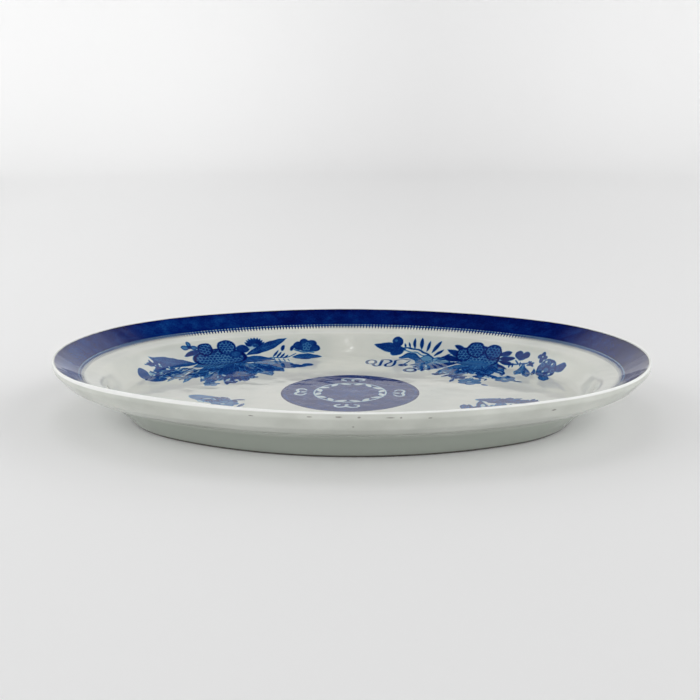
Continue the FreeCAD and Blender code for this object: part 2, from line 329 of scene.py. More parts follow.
def glaze_ring(name, corners, side=-1, under=0.0):
    """A coat of glaze along a line of the section."""
    line = rounded(corners)
    back = beside(line, side * GLAZE)[::-1]
    section = np.concatenate([line, back])
    return loft(name, [oval_ring(*point) for point in section], section[:, 0], under)


# ---- folding the plan onto the surface

WELL = [FLANGE_FOOT, WELL_EDGE, FLOOR_CORNER, (FLAT_FLOOR, FLOOR)]
BACK = [UNDER_CORNER, UNDER_BULGE, UNDER_BELLY, OUTER_WALL, FOOT_TOP]
FACE = rounded([(ROW_END, flange_at(ROW_END)), *WELL])


def fold(x, y):
    """Points of the flattened plan, laid over the floor, the well wall and the shoulder."""
    line = FACE[::-1]
    run = np.concatenate([[0], np.cumsum(np.linalg.norm(np.diff(line, axis=0), axis=1))])
    at_end = np.arctan2(np.abs(y), np.abs(x) - END_OFFSET) < math.pi / 3
    cx = np.where(at_end, np.copysign(END_OFFSET, x), 0)
    cy = np.where(at_end, 0, -np.copysign(SIDE_OFFSET, y))
    radius = np.where(at_end, END_RADIUS, SIDE_RADIUS)
    reach = np.maximum(np.hypot(x - cx, y - cy), 1e-6)
    depth = radius - reach
    climb = np.clip(FLAT_FLOOR - depth, 0, run[-1])
    inset = np.where(depth < FLAT_FLOOR, np.interp(climb, run, line[:, 0]), depth)
    height = np.interp(climb, run, line[:, 1])
    share = (radius - inset) / reach
    return np.stack([cx + (x - cx) * share, cy + (y - cy) * share, height], -1)


def painted_patch(name, low, high, paint, turned=False, pitch=0.55, proud=0.02, depth=0.3):
    """A thin closed patch of painted glaze, as far as its painting reaches."""
    xs = np.arange(low[0], high[0] + pitch, pitch)
    ys = np.arange(low[1], high[1] + pitch, pitch)
    if turned:
        xs, ys = -xs[::-1], -ys[::-1]
    x, y = np.meshgrid(xs, ys, indexing="ij")
    ink = paint(x, y, turned)
    keep = ink > 0.01
    for _ in range(2):
        grown = keep.copy()
        grown[1:] |= keep[:-1]
        grown[:-1] |= keep[1:]
        grown[:, 1:] |= keep[:, :-1]
        grown[:, :-1] |= keep[:, 1:]
        keep = grown
    cells = keep[:-1, :-1] & keep[1:, :-1] & keep[1:, 1:] & keep[:-1, 1:]
    number = np.arange(x.size).reshape(x.shape)
    quads = np.stack([number[:-1, :-1], number[1:, :-1], number[1:, 1:], number[:-1, 1:]], -1)[cells]
    used = np.unique(quads)
    renumber = np.zeros(x.size, int)
    renumber[used] = np.arange(len(used))
    quads = renumber[quads]
    skin = by_hand(fold(x.ravel()[used], y.ravel()[used]))
    edges = np.concatenate([quads[:, [k, (k + 1) % 4]] for k in range(4)])
    forward = edges[:, 0] * len(used) + edges[:, 1]
    backward = edges[:, 1] * len(used) + edges[:, 0]
    rim = edges[~np.isin(forward, backward)]
    up = patch_normals(skin, quads)
    points = np.concatenate([skin + up * proud, skin - up * depth])
    under = quads[:, ::-1] + len(used)
    walls = np.column_stack([rim[:, 1], rim[:, 0], rim[:, 0] + len(used), rim[:, 1] + len(used)])
    ink = np.tile(ink.ravel()[used], 2)
    return write_mesh(name, points, np.concatenate([quads, under, walls]), ink=ink)


def patch_normals(points, quads):
    """Upward normals at the points of an open sheet of quads."""
    corner = points[quads]
    face = np.cross(corner[:, 2] - corner[:, 0], corner[:, 3] - corner[:, 1])
    total = np.zeros_like(points)
    for k in range(4):
        np.add.at(total, quads[:, k], face)
    total /= np.linalg.norm(total, axis=1)[:, None]
    return total * np.sign(total[:, 2:3])


# ---- painting

def polar(reach, turn, centre=(0, 0)):
    """The point at a distance and an angle, in radians, from a centre."""
    return centre[0] + reach * math.cos(turn), centre[1] + reach * math.sin(turn)


class Brush:
    """Strength of the cobalt at points of the plan: 0 is bare glaze and 1 is dark blue."""

    EDGE = 0.55
    SHAKE = 0.3
    SHAKE_LENGTH = 11
    RIB_PITCH = 2.6
    RIB_HALF = 0.35
    VEIN_HALF = 0.4

    def __init__(self, x, y, turned=False):
        sign = -1.0 if turned else 1.0
        self.x = sign * x + self.SHAKE * waves(x, y, self.SHAKE_LENGTH, 21)
        self.y = sign * y + self.SHAKE * waves(x, y, self.SHAKE_LENGTH, 22)
        self.ink = np.zeros_like(x)

    def seen_from(self, centre, direction):
        """How far the points lie along and across a direction, in degrees, from a centre."""
        turn = math.radians(direction)
        dx, dy = self.x - centre[0], self.y - centre[1]
        along = dx * math.cos(turn) + dy * math.sin(turn)
        return along, dy * math.cos(turn) - dx * math.sin(turn)

    def fill(self, distance, ink, outline=None, line=0.7):
        """Paint over whatever lies where the distance is negative."""
        cover = np.clip(0.5 - distance / self.EDGE, 0, 1)
        if outline is not None:
            inner = np.clip((-distance - line) / self.EDGE + 0.5, 0, 1)
            ink = outline + (ink - outline) * inner
        self.ink += (ink - self.ink) * cover

    def oval(self, centre, long, short, direction, ink, outline=None, line=0.7):
        along, across = self.seen_from(centre, direction)
        self.fill((np.hypot(along / long, across / short) - 1) * min(long, short), ink, outline, line)

    def ovals(self, *ovals):
        for oval in ovals:
            self.oval(*oval)

    def leaf(self, base, tip, width, ink=0.8, outline=None, vein=0.0, line=0.6):
        """A leaf with two pointed ends, and a paler vein down its middle."""
        half = math.dist(base, tip) / 2
        direction = math.degrees(math.atan2(tip[1] - base[1], tip[0] - base[0]))
        middle = ((base[0] + tip[0]) / 2, (base[1] + tip[1]) / 2)
        along, across = self.seen_from(middle, direction)
        radius = (half ** 2 + (width / 2) ** 2) / width
        distance = np.hypot(along, np.abs(across) + radius - width / 2) - radius
        if vein:
            rib = (along + half - np.abs(across)) % self.RIB_PITCH - self.RIB_PITCH / 2
            veined = (np.abs(rib) < self.RIB_HALF) | (np.abs(across) < self.VEIN_HALF)
            ink = np.where(veined, ink - vein, ink)
        self.fill(distance, ink, outline, line)

    def leaves(self, places, **look):
        for base, tip, width in places:
            self.leaf(base, tip, width, **look)

    def stroke(self, points, width=0.8, ink=1.0, taper=0.35):
        """A smooth brush stroke through a few points, thinner at both ends."""
        path = smooth_path(points)
        best = np.full(self.x.shape, 1e9)
        for index in range(len(path) - 1):
            start, run = path[index], path[index + 1] - path[index]
            dx, dy = self.x - start[0], self.y - start[1]
            part = np.clip((dx * run[0] + dy * run[1]) / (run @ run), 0, 1)
            place = (index + part) / (len(path) - 1)
            half = width / 2 * (1 - taper * np.abs(2 * place - 1) ** 3)
            away = np.hypot(dx - part * run[0], dy - part * run[1])
            best = np.minimum(best, away - half)
        self.fill(best, ink)

    def thicket(self, centre, long, short, count, size, lean, seed, pale=1):
        """Many small leaves over one another, light and dark, that lean one way."""
        looks = [(0.62, 1.2), (0.78, 1.25), (1.05, 0.5)] + [(0.06, 0.35)] * pale
        draw = np.random.default_rng(seed)
        for _ in range(count):
            bearing = draw.uniform(0, 2 * math.pi)
            right, up = polar(math.sqrt(draw.uniform()), bearing)
            foot = (centre[0] + long * right, centre[1] + short * up)
            way = math.radians(lean + draw.uniform(-50, 50))
            length = size * draw.uniform(0.6, 1.4)
            ink, outline = looks[draw.integers(len(looks))]
            self.leaf(foot, polar(length, way, foot), length * draw.uniform(0.26, 0.42), ink, outline)

    def rays(self, centre, count, start, sweep, inner, outer, width, **look):
        """Narrow petals round a centre."""
        for turn in np.radians(np.linspace(start, start + sweep, count)):
            self.leaf(polar(inner, turn, centre), polar(outer, turn, centre), width, **look)

    def blossom(self, centre, petals, reach, ink=0.7, outline=1.05, heart=0.15, start=90):
        """A round flower with broad petals and a pale heart."""
        for turn in np.radians(start + np.arange(petals) * 360 / petals):
            middle = polar(0.55 * reach, turn, centre)
            self.oval(middle, reach * 0.48, reach * 0.4, math.degrees(turn), ink, outline)
        self.oval(centre, reach * 0.25, reach * 0.25, 0, heart, outline, 0.4)

    def scales(self, centre, long, short, direction, ink=0.98, gap=0.42, width=3.3, height=2.3):
        """A petal or flower body drawn with rows of small scales, pale on dark."""
        along, across = self.seen_from(centre, direction)
        distance = (np.hypot(along / long, across / short) - 1) * min(long, short)
        row = np.floor(across / height)
        aside = ((along / width + 0.5 * (row % 2)) % 1 - 0.5) * width
        above = across - row * height
        on_arc = np.abs(np.hypot(aside, above) - 0.48 * width) < 0.38
        self.fill(distance, np.where(on_arc, gap, ink), 1.4, 1.0)


def smooth_path(points, parts=7):
    """A Catmull-Rom curve through the points."""
    points = np.array(points, float)
    padded = np.concatenate([[2 * points[0] - points[1]], points, [2 * points[-1] - points[-2]]])
    path = [points[0]]
    for a, b, c, d in zip(padded, padded[1:], padded[2:], padded[3:]):
        for part in np.arange(1, parts + 1) / parts:
            path.append(0.5 * (2 * b + (c - a) * part + (2 * a - 5 * b + 4 * c - d) * part ** 2
                               + (3 * b - a - 3 * c + d) * part ** 3))
    return np.array(path)


def paint_peony_spray(x, y, turned=False):
    """A fish-scaled peony among long leaves, with a chrysanthemum and small blossoms."""
    brush = Brush(x, y, turned)
    oval, leaf, leaves, stroke = brush.oval, brush.leaf, brush.leaves, brush.stroke
    # The mass of leaves that hangs towards the medallion.
    brush.ovals(((-106, 64), 26, 30, -8, 0.62), ((-76, 84), 22, 16, 20, 0.62))
    leaves([
        ((-140, 72), (-151, 26), 7), ((-134, 68), (-137, 23), 7), ((-146, 72), (-160, 35), 6),
        ((-128, 68), (-130, 38), 6), ((-152, 66), (-168, 46), 5),
    ], ink=0.5, outline=0.75, vein=0.25)
    leaves([
        ((-116, 90), (-140, 74), 12), ((-114, 88), (-134, 42), 12), ((-112, 84), (-124, 27), 13),
        ((-90, 96), (-60, 64), 16), ((-94, 100), (-64, 90), 13), ((-94, 92), (-68, 50), 16),
    ], ink=0.62, outline=0.9, vein=0.3)
    leaves([
        ((-96, 90), (-84, 46), 15), ((-104, 88), (-93, 33), 15), ((-110, 86), (-118, 13), 13),
    ], ink=0.72, outline=0.22, vein=0.3)
    leaves([((-106, 92), (-101, 18), 14), ((-108, 98), (-112, 44), 11)], ink=0.95, outline=0.3)
    leaves([((-100, 102), (-72, 106), 9), ((-122, 96), (-86, 100), 13)], ink=0.68, outline=0.95)
    brush.thicket((-105, 62), 25, 26, 50, 12, -100, 41, pale=0)
    brush.thicket((-76, 84), 18, 13, 26, 11, -50, 42, pale=0)
    brush.thicket((-148, 54), 23, 19, 150, 6.5, -130, 43)
    brush.thicket((-112, 50), 22, 16, 14, 8, -100, 45, pale=4)
    if turned:
        # The turned spray trails a long tail of leaves along the front of the floor.
        oval((-122, 19), 24, 6, -6, 0.8)
        brush.thicket((-122, 20), 22, 5, 34, 8, -170, 44, pale=0)
    else:
        # Small flowers below the leaves.
        brush.blossom((-114, 20), 5, 6.5, ink=0.4, outline=0.75)
        brush.blossom((-98.5, 28), 5, 5, ink=0.7)
        brush.blossom((-84, 44), 4, 4.5, ink=0.45, outline=0.85)
        oval((-90, 35), 3, 2, 40, 0.5, 0.95)
        stroke([(-98, 38), (-92, 40), (-86, 40)], 0.7, 0.8)
    # Peony.
    brush.scales((-120, 95), 24, 9.5, 24, ink=0.9, gap=0.38)
    brush.scales((-135, 98.5), 7.2, 6.2, 10)
    brush.scales((-117.5, 107.5), 8.4, 7.0, 20)
    stroke([(-129.5, 100), (-126, 99), (-124, 104)], 1.0, 1.15)
    leaf((-139, 96), (-150.5, 83.5), 4.5, 1.1)
    brush.ovals(((-103, 111), 6.2, 3.6, 18, 1.0, 1.15), ((-108, 104), 5, 3, 24, 0.75, 1.0))
    # Chrysanthemum, half open.
    oval((-92, 116.5), 7, 4.2, 20, 0.12)
    brush.rays((-92.5, 115), 11, 18, 150, 3.6, 10.6, 2.1, ink=1.1)
    brush.rays((-92.5, 115), 7, 30, 120, 1.0, 4.2, 1.2, ink=0.85)
    # Long leaves.
    leaf((-99, 106.5), (-66.5, 131), 7.6, 0.92, 1.15, 0.22)
    leaf((-137, 82.5), (-178.5, 59.5), 8.4, 0.78, 1.08, 0.2)
    # Feathered twig at the left.
    stroke([(-148, 62), (-160, 60), (-172, 55), (-178, 50)], 0.9, 0.9)
    leaves([
        ((-154, 62), (-160, 70), 3), ((-161, 60), (-168, 66), 3), ((-166, 58), (-175, 62), 3.2),
        ((-170, 56), (-177, 57), 2.6), ((-156, 60), (-162, 52), 3), ((-163, 58), (-169, 50), 3),
        ((-149, 62), (-153, 52), 3),
    ], ink=0.75, outline=0.98)
    # Two-lobed leaf.
    brush.ovals(
        ((-162.5, 33), 9.5, 7.2, -20, 0.72, 1.0), ((-174, 38.5), 6.6, 6, -20, 0.72, 1.0),
        ((-167, 35.5), 6, 4, -20, 0.78),
    )
    # Three-leaved bud.
    leaves([
        ((-148.5, 93.5), (-153.5, 100), 4), ((-148.5, 94), (-142, 96.5), 4),
        ((-149, 93.5), (-156, 90), 4.4),
    ], ink=0.45, outline=1.1)
    oval((-149, 94), 1.7, 1.5, 0, 1.1)
    # Twigs, buds and the cloud-shaped blossom at the right.
    stroke([(-80, 108), (-72, 110), (-64, 112), (-56, 118)], 0.8, 0.85)
    for at in (-75, -72, -69, -66):
        leaf((at, 110), (at + 3, 118 - (at + 75) * 0.3), 1.7, 0.95)
    for at in (-74, -70, -66, -62):
        stroke([(at, 109), (at + 2.5, 100)], 0.8, 0.6)
    brush.ovals(((-68, 121), 1.5, 2.9, -10, 1.1), ((-60, 122.5), 1.3, 2.7, -12, 1.1))
    leaf((-59, 113), (-33, 117), 8.5, 0.82, 1.0, 0.2)
    oval((-46.5, 111.5), 5, 3.4, 10, 0.85)
    for right, up, size in (
        (-54.5, 125.6, 4.9), (-49.3, 129, 5.0), (-43.3, 129.4, 4.7), (-39.3, 125.8, 4.1),
    ):
        oval((right, up), size, size * 0.78, 0, 0.86, 1.15, 0.9)
    oval((-47, 124.8), 8.6, 3.5, 0, 0.9)
    brush.blossom((-47, 126.2), 5, 4.2, ink=0.8, outline=0.4, heart=0.9)
    stroke([(-58, 121.5), (-50, 120.5), (-40, 121.5)], 0.8, 0.75)
    # Heart-shaped leaf below the twigs.
    brush.ovals(
        ((-55.5, 84), 7, 6.6, 0, 0.8, 1.0), ((-42.5, 88.5), 4.6, 5.2, 0, 0.9, 1.05),
        ((-49, 83.5), 7, 4.2, 10, 0.82),
    )
    stroke([(-66, 98), (-62, 92), (-56, 88)], 0.9, 0.8)
    return brush.ink


def paint_ribbon_spray(x, y, turned=False):
    """A peony with pointed sepals, a ribbon, a gourd bud and a round rose."""
    brush = Brush(x, y, turned)
    oval, leaf, leaves, stroke = brush.oval, brush.leaf, brush.leaves, brush.stroke
    # Leaves and washes below.
    leaves([
        ((100, 100), (67, 58), 17), ((96, 96), (86, 56), 14), ((84, 104), (52, 74), 16),
        ((80, 108), (48, 92), 14),
    ], ink=0.58, outline=0.85, vein=0.28)
    leaves([
        ((108, 104), (110, 56), 17), ((114, 102), (123, 62), 12), ((104, 100), (97, 62), 13),
    ], ink=0.68, outline=0.9, vein=0.3)
    leaves([((88, 104), (61, 80), 9), ((112, 98), (122, 66), 6)], ink=0.95)
    brush.ovals(((107, 62), 5.5, 3, 0, 1.0), ((68, 61.5), 3.4, 2.6, 0, 1.0))
    brush.thicket((98, 76), 26, 18, 44, 11, -90, 51, pale=0)
    brush.thicket((98, 70), 26, 14, 10, 8, -90, 55, pale=4)
    brush.thicket((64, 88), 14, 12, 24, 9, -120, 52)
    brush.thicket((110, 56), 20, 8, 16, 7, -80, 53)
    if turned:
        # The turned spray trails a feathered leaf along the front of the floor.
        oval((104, 27), 24, 8, -30, 0.5)
        brush.thicket((106, 24), 20, 6, 26, 7, 150, 54)
    # Fan-shaped shell with stripes, and its arch.
    oval((70, 106), 10.5, 7, -8, 0.22, 0.7)
    brush.rays((66, 99), 6, 35, 100, 4, 12, 1.1, ink=0.6)
    oval((58, 111), 8, 5.2, 24, 0.3, 0.75)
    stroke([(38, 116), (44, 118), (50, 114), (53, 104), (55, 90), (54, 80)], 6.4, 0.62)
    stroke([(38, 118), (45, 121), (53, 116), (57, 104), (58, 92)], 1.0, 1.0)
    # Lower flowers.
    brush.blossom((86, 53), 5, 7.5, ink=0.75)
    brush.blossom((95, 38), 6, 10, ink=0.4, outline=0.7)
    brush.blossom((124, 47), 6, 9, ink=0.5, outline=0.8)
    leaves([((100, 50), (108, 48), 3), ((82, 46), (79, 36), 3), ((130, 42), (137, 38), 3),
                  ((104, 30), (109, 26), 3), ((78, 58), (72, 52), 3)], ink=0.7, outline=0.9)
    # Peony with its sepals.
    leaves([
        ((97, 112), (86.5, 121.5), 5), ((93, 108), (79.5, 118.5), 5), ((90, 106), (74, 113.5), 4.4),
        ((92, 104), (76, 109.5), 3.4), ((124, 100), (135.5, 98.5), 4.4), ((123, 97), (137, 91.5), 4.4),
        ((120, 92), (127, 80), 4.6), ((122, 95), (134, 86.5), 3.6),
    ], ink=1.1)
    brush.scales((106, 104), 19, 11, -22, ink=0.85, gap=0.36)
    brush.scales((93, 110.5), 7, 6.6, -10)
    brush.scales((104.5, 112), 8.2, 7.4, -18)
    brush.scales((119.5, 104.5), 8.0, 7.0, -22)
    stroke([(111, 109), (112.5, 104), (115, 102)], 1.0, 1.15)
    oval((100, 97), 15, 5, -18, 0.62)
    # Gourd bud with its stem and leaflets.
    leaf((42, 124.5), (14, 131.5), 8.6, 1.0, 1.15, 0.18)
    brush.ovals(
        ((34, 123.5), 6, 3.4, 10, 1.0), ((35.2, 133.2), 4.9, 4.9, 0, 0.98, 1.15),
        ((33.8, 134.2), 1.4, 1.2, 0, 0.55),
    )
    stroke([(40, 126.5), (50, 124.5), (59, 119.5), (66, 113)], 1.1, 1.1)
    leaves([
        ((42, 126.5), (41.5, 131), 1.5), ((46.5, 126), (45.5, 131.5), 1.7), ((50.5, 125), (51, 135), 2.2),
        ((56, 123), (57.5, 134.5), 3.2), ((60.5, 120.5), (65.2, 129.5), 2.4),
        ((65, 118.5), (74.8, 127.4), 3), ((66.5, 115.2), (76, 119), 2.4),
        ((68, 111), (82, 114), 1.8), ((66, 109), (84, 110.5), 1.7),
    ], ink=1.02)
    stroke([(40, 124), (50, 121), (60, 116)], 0.7, 0.7)
    # Ribbon.
    stroke([
        (45, 110), (38, 110), (33, 106), (32.5, 96), (30, 87), (25, 86.5), (25, 93), (29, 101), (28, 108.5),
        (22.5, 109), (20.5, 100), (19.5, 89), (16, 86.5), (14, 92), (16, 100), (14.5, 107), (10, 107),
        (8, 100), (10, 94), (14, 96),
    ], 2.0, 1.0, 0.2)
    oval((39.5, 91), 3.8, 4.2, 0, 0.85, 1.05)
    stroke([(40, 94), (43, 100), (45, 106)], 1.2, 0.9)
    oval((46, 74), 5.8, 7.4, 0, 0.06, 1.05, 2.4)
    # Heart-shaped flower, twigs and a small cross-shaped flower.
    brush.ovals(
        ((141.5, 93.5), 3.9, 3.6, -30, 0.98, 1.15), ((147.6, 90.2), 3.4, 3.0, -10, 0.98, 1.15),
        ((143.5, 89.5), 4, 2.2, -10, 1.0),
    )
    stroke([(127, 90), (135, 87), (141, 84), (150, 82)], 0.9, 0.95)
    for twig in (
        [(131, 88.5), (130, 85)], [(134, 88), (133, 84.5)], [(137, 90), (138, 86)], [(140, 86), (139, 83)],
    ):
        stroke(twig, 1.0, 0.95)
    leaf((145, 81), (152.5, 79), 2.4, 1.0)
    leaf((147.5, 84), (150.5, 76.5), 2.2, 1.0)
    brush.blossom((161, 80), 4, 4.8, ink=0.9, heart=0.05, start=45)
    # Hanging leaf.
    leaf((143, 84), (133, 62), 9, 0.62, 0.9, 0.25)
    leaf((144, 78), (141.5, 54), 6, 0.75, 1.0, 0.2)
    # Rose with its leaves.
    leaf((166, 62), (178, 54.5), 8, 0.85, 1.05)
    oval((175, 57.5), 3.2, 3.0, 0, 0.85, 1.05)
    leaf((156, 62), (155.5, 43), 8.5, 0.7, 0.95, 0.2)
    oval((160.5, 66), 10, 9.5, 0, 0.85, 1.1, 1.0)
    brush.rays((160.5, 66), 7, 0, 309, 4.6, 9.0, 3.6, ink=0.8, outline=0.35)
    oval((160, 66), 3.6, 3.2, 0, 0.5, 1.1)
    for spot in [(157, 66), (167, 67.5), (161, 60), (163, 73)]:
        oval(spot, 1.3, 1.2, 0, 0.05)
    leaf((150, 74), (147, 62), 3.4, 0.85)
    return brush.ink


def paint_medallion(x, y):
    """A round medallion: blue ground, a pale ring of paired petals, four ornaments and a rosette."""
    outer_line, inner_line, wreath, ring = 49.8, 45.5, 25.6, 28.2
    brush = Brush(x, y)
    radius = np.hypot(x, y)
    brush.ink[:] = 1.08 + 0.07 * waves(x, y, 8, 31)
    brush.ink = np.where(radius > outer_line, 0.85, brush.ink)
    for line, width in ((MEDALLION - 0.9, 1.8), (outer_line, 0.9), (inner_line, 0.5)):
        brush.ink = np.where(np.abs(radius - line) < width / 2, 1.35, brush.ink)
    brush.fill(np.abs(radius - ring) - 0.9, 0.06)
    for step in range(16):
        turn = math.radians(11.25 + 22.5 * step)
        lean = 2.6 * (-1) ** step
        foot, tip = polar(wreath - lean, turn - 0.17), polar(wreath + lean, turn + 0.17)
        brush.leaf(foot, tip, 4.8, 0.04, 0.1, 0.0, 0.5)
    half = ((-3.5, 5.5), (-1, 9), (3, 8), (3.8, 4))
    ornament = (*half, (2.4, 0), *((a, -b) for a, b in reversed(half)))
    for quarter in range(0, 360, 90):
        out = np.array(polar(1, math.radians(quarter)))
        aside = np.array([-out[1], out[0]])
        brush.stroke([(38.5 + a) * out + b * aside for a, b in ornament], 2.8, 0.04)
        brush.leaf(33.5 * out, 39.5 * out, 3.4, 0.04)
        for side in (-1, 1):
            turn = math.radians(quarter + 45 + 11 * side)
            brush.oval(polar(37.5, turn), 3.4, 1.5, quarter + 45 + 50 * side, 0.85)
    for petal in np.radians(np.arange(8) * 45 + 22.5):
        brush.oval(polar(11, petal), 5.4, 2.6, math.degrees(petal), 0.95, 0.75, 0.5)
    brush.oval((0, 0), 4.2, 4.2, 0, 1.0, 0.75, 0.5)
    return brush.ink


# ---- materials

class Sheet:
    """The node tree that the functions below add their nodes to."""

    tree = None

    @classmethod
    def of(cls, owner):
        """Empty the node tree of a material or a world, and add to it from now on."""
        owner.use_nodes = True
        cls.tree = owner.node_tree
        cls.tree.nodes.clear()
        return owner


def node(kind, inputs=None, **settings):
    """A shader node with its settings, and its inputs set or linked."""
    made = Sheet.tree.nodes.new("ShaderNode" + kind)
    for name, value in settings.items():
        setattr(made, name, value)
    for name, value in (inputs or {}).items():
        if isinstance(value, bpy.types.NodeSocket):
            Sheet.tree.links.new(value, made.inputs[name])
        else:
            made.inputs[name].default_value = value
    return made


def maths(operation, first, second=0.0):
    return node("Math", {0: first, 1: second}, operation=operation).outputs[0]


def chained(operation):
    """A function that joins two or more values by one operation."""
    return lambda *values: functools.reduce(functools.partial(maths, operation), values)


plus, minus = chained("ADD"), chained("SUBTRACT")
times, over = chained("MULTIPLY"), chained("DIVIDE")


def span(right, up):
    """The length of a flat vector."""
    vector = node("CombineXYZ", {0: right, 1: up}).outputs[0]
    return node("VectorMath", {0: vector}, operation="LENGTH").outputs["Value"]


def here():
    return node("TexCoord").outputs["Object"]


def noise(size, detail=3.0, roughness=0.5, stretch=(1, 1, 1)):
    """Noise between 0 and 1 whose features are about one size, in millimetres."""
    scaled = node("Mapping", {"Vector": here(), "Scale": stretch}).outputs[0]
    inputs = {"Vector": scaled, "Scale": 1 / (size * MM), "Detail": detail, "Roughness": roughness}
    return node("TexNoise", inputs).outputs["Fac"]


def between(value, low, high, to_low=0.0, to_high=1.0):
    """The value's place between two limits, softly, as a number between two others."""
    inputs = {"Value": value, "From Min": low, "From Max": high, "To Min": to_low, "To Max": to_high}
    return node("MapRange", inputs, interpolation_type="SMOOTHSTEP").outputs[0]


def blend(share, first, second, kind="MIX"):
    mix = node("Mix", data_type="RGBA", blend_type=kind)
    for index, value in ((0, share), (6, first), (7, second)):
        if isinstance(value, bpy.types.NodeSocket):
            Sheet.tree.links.new(value, mix.inputs[index])
        else:
            mix.inputs[index].default_value = value if index == 0 else (*value, 1)
    return mix.outputs[2]


def finish_material(inputs):
    shader = node("BsdfPrincipled", inputs)
    node("OutputMaterial", {"Surface": shader.outputs[0]})


def specks(spacing, size, kept):
    """Scattered round specks: the spacing and size in millimetres, and the share that is kept."""
    cells = node("TexVoronoi", {"Vector": here(), "Scale": 1 / (spacing * MM)})
    chance = node("SeparateColor", {"Color": cells.outputs["Color"]}).outputs[0]
    near = between(cells.outputs["Distance"], size / spacing, 0.4 * size / spacing)
    return times(near, maths("LESS_THAN", chance, kept))


FACE_GLAZE = ((0.68, 0.69, 0.635), (0.60, 0.62, 0.575))
BACK_GLAZE = ((0.67, 0.69, 0.64), (0.56, 0.58, 0.53))
IRON = (0.055, 0.04, 0.028)
COBALT = (0.002, 0.037, 0.265)


def glazed(name, tints=FACE_GLAZE, ink=None, speck_share=0.10, extra=None):
    """Glossy glaze over white clay, with the cobalt that lies under it."""
    material = Sheet.of(bpy.data.materials.new(name))
    colour = blend(between(noise(42, 4), 0.35, 0.7), *tints)
    if extra is not None:
        colour = extra(colour)
    colour = blend(times(specks(16, 0.45, speck_share), 0.75), colour, IRON)
    if ink is not None:
        cloudy = between(noise(9, 5, 0.6), 0.3, 0.7, 0.86, 1.12)
        grainy = between(noise(1.3, 2, 0.6), 0.3, 0.72, 0.9, 1.12)
        strength = times(ink(), cloudy, grainy)
        channels = {channel: maths("POWER", base, strength)
                    for channel, base in zip(("Red", "Green", "Blue"), COBALT)}
        filtered = node("CombineColor", channels).outputs[0]
        colour = blend(1.0, colour, filtered, "MULTIPLY")
    gloss = between(noise(24, 3), 0.3, 0.7, 0.04, 0.09)
    height = plus(times(noise(3, 2), 0.2), times(noise(10, 2), 4.5))
    bump = node("Bump", {"Strength": 0.6, "Distance": 0.00006, "Height": height}).outputs[0]
    finish_material({"Base Color": colour, "Roughness": gloss, "IOR": 1.5, "Normal": bump})
    return material


def strip_at():
    """How far along the border and how far in from the rim a point lies, in millimetres."""
    place = node("Attribute", attribute_name="strip").outputs["Vector"]
    parts = node("SeparateXYZ", {0: place})
    return parts.outputs[0], parts.outputs[1]


def band_ink():
    """The wide border: a dense trellis with flower-filled cartouches, almost drowned in blue."""
    along, across = strip_at()
    half_pitch = PERIMETER / TRELLIS / 2
    rising = maths("PINGPONG", plus(along, across), half_pitch)
    falling = maths("PINGPONG", minus(along, across), half_pitch)
    ground = times(between(maths("MINIMUM", rising, falling), 0.42, 0.18), -0.08)
    aside = maths("PINGPONG", along, PERIMETER / CARTOUCHES / 2)
    above = minus(across, (BAND_START + BAND_END) / 2)
    reach = span(over(aside, 17), over(above, 5.4))
    rim = times(between(reach, 0.84, 0.92), between(reach, 1.06, 0.98), -0.10)
    scallop = times(maths("SINE", times(maths("ARCTAN2", above, aside), 5)), 1.1)
    flower = minus(span(aside, above), scallop)
    petals = times(between(flower, 4.4, 4.0), between(flower, 3.0, 3.5), -0.12)
    drowned = between(noise(60, 2), 0.42, 0.62)
    marks = times(plus(ground, rim, petals), drowned)
    outer = between(across, 9.0, BAND_START, 0.0, 0.22)
    near_rim = between(across, 3.4, 2.6, 0.0, 0.25)
    near_line = between(across, 17.9, 18.3, 0.0, 0.18)
    washed = between(noise(14, 4, 0.55), 0.46, 0.72, 0.0, -0.2)
    smudge = between(noise(34, 5, 0.7), 0.58, 0.72, 0.0, -0.16)
    broad = between(noise(150, 2), 0.38, 0.62, -0.28, 0.2)
    pale = times(specks(9, 0.5, 0.14), -0.4)
    return plus(1.2, outer, near_rim, near_line, washed, smudge, broad, marks, pale)


def line_ink():
    _, across = strip_at()
    away = maths("ABSOLUTE", minus(across, (LINE_START + LINE_END) / 2))
    half = (LINE_END - LINE_START) / 2
    return between(away, half, half - 0.2, 0.5, 1.15)


def gap_ink():
    """Clear glaze with a row of dark beads, and a little colour that ran from them."""
    along, _ = strip_at()
    bead = between(maths("PINGPONG", along, PERIMETER / SPEARHEADS / 2), 0.75, 0.55)
    return plus(bead, between(noise(5, 2), 0.3, 0.7, 0.08, 0.22))


def spearhead_ink():
    """Small pointed teeth with a dot at each tip."""
    along, across = strip_at()
    aside = maths("PINGPONG", along, PERIMETER / SPEARHEADS / 2)
    down = minus(across, ROW_START)
    half = minus(0.85, times(down, 0.3))
    tooth = between(minus(aside, half), 0.12, -0.12)
    dot = between(span(aside, minus(down, 1.75)), 0.55, 0.38)
    return times(maths("MAXIMUM", tooth, dot), 1.5)


# Iron spots on the front of the rim: how far right of its middle, how high, and their radii.
FRONT_MIDDLE = 0.75 * PERIMETER
FRONT_SPOTS = (
    (-54, 42.0, 2.0, 0.5), (-15, 43.0, 2.2, 0.5), (4, 43.2, 2.6, 0.7), (13, 35.0, 0.9, 0.7),
    (17, 43.0, 1.4, 0.7), (37, 42.6, 3.2, 0.5), (44, 42.4, 1.0, 0.8), (63, 41.6, 1.6, 0.5),
    (152, 39.0, 2.6, 0.9),
)


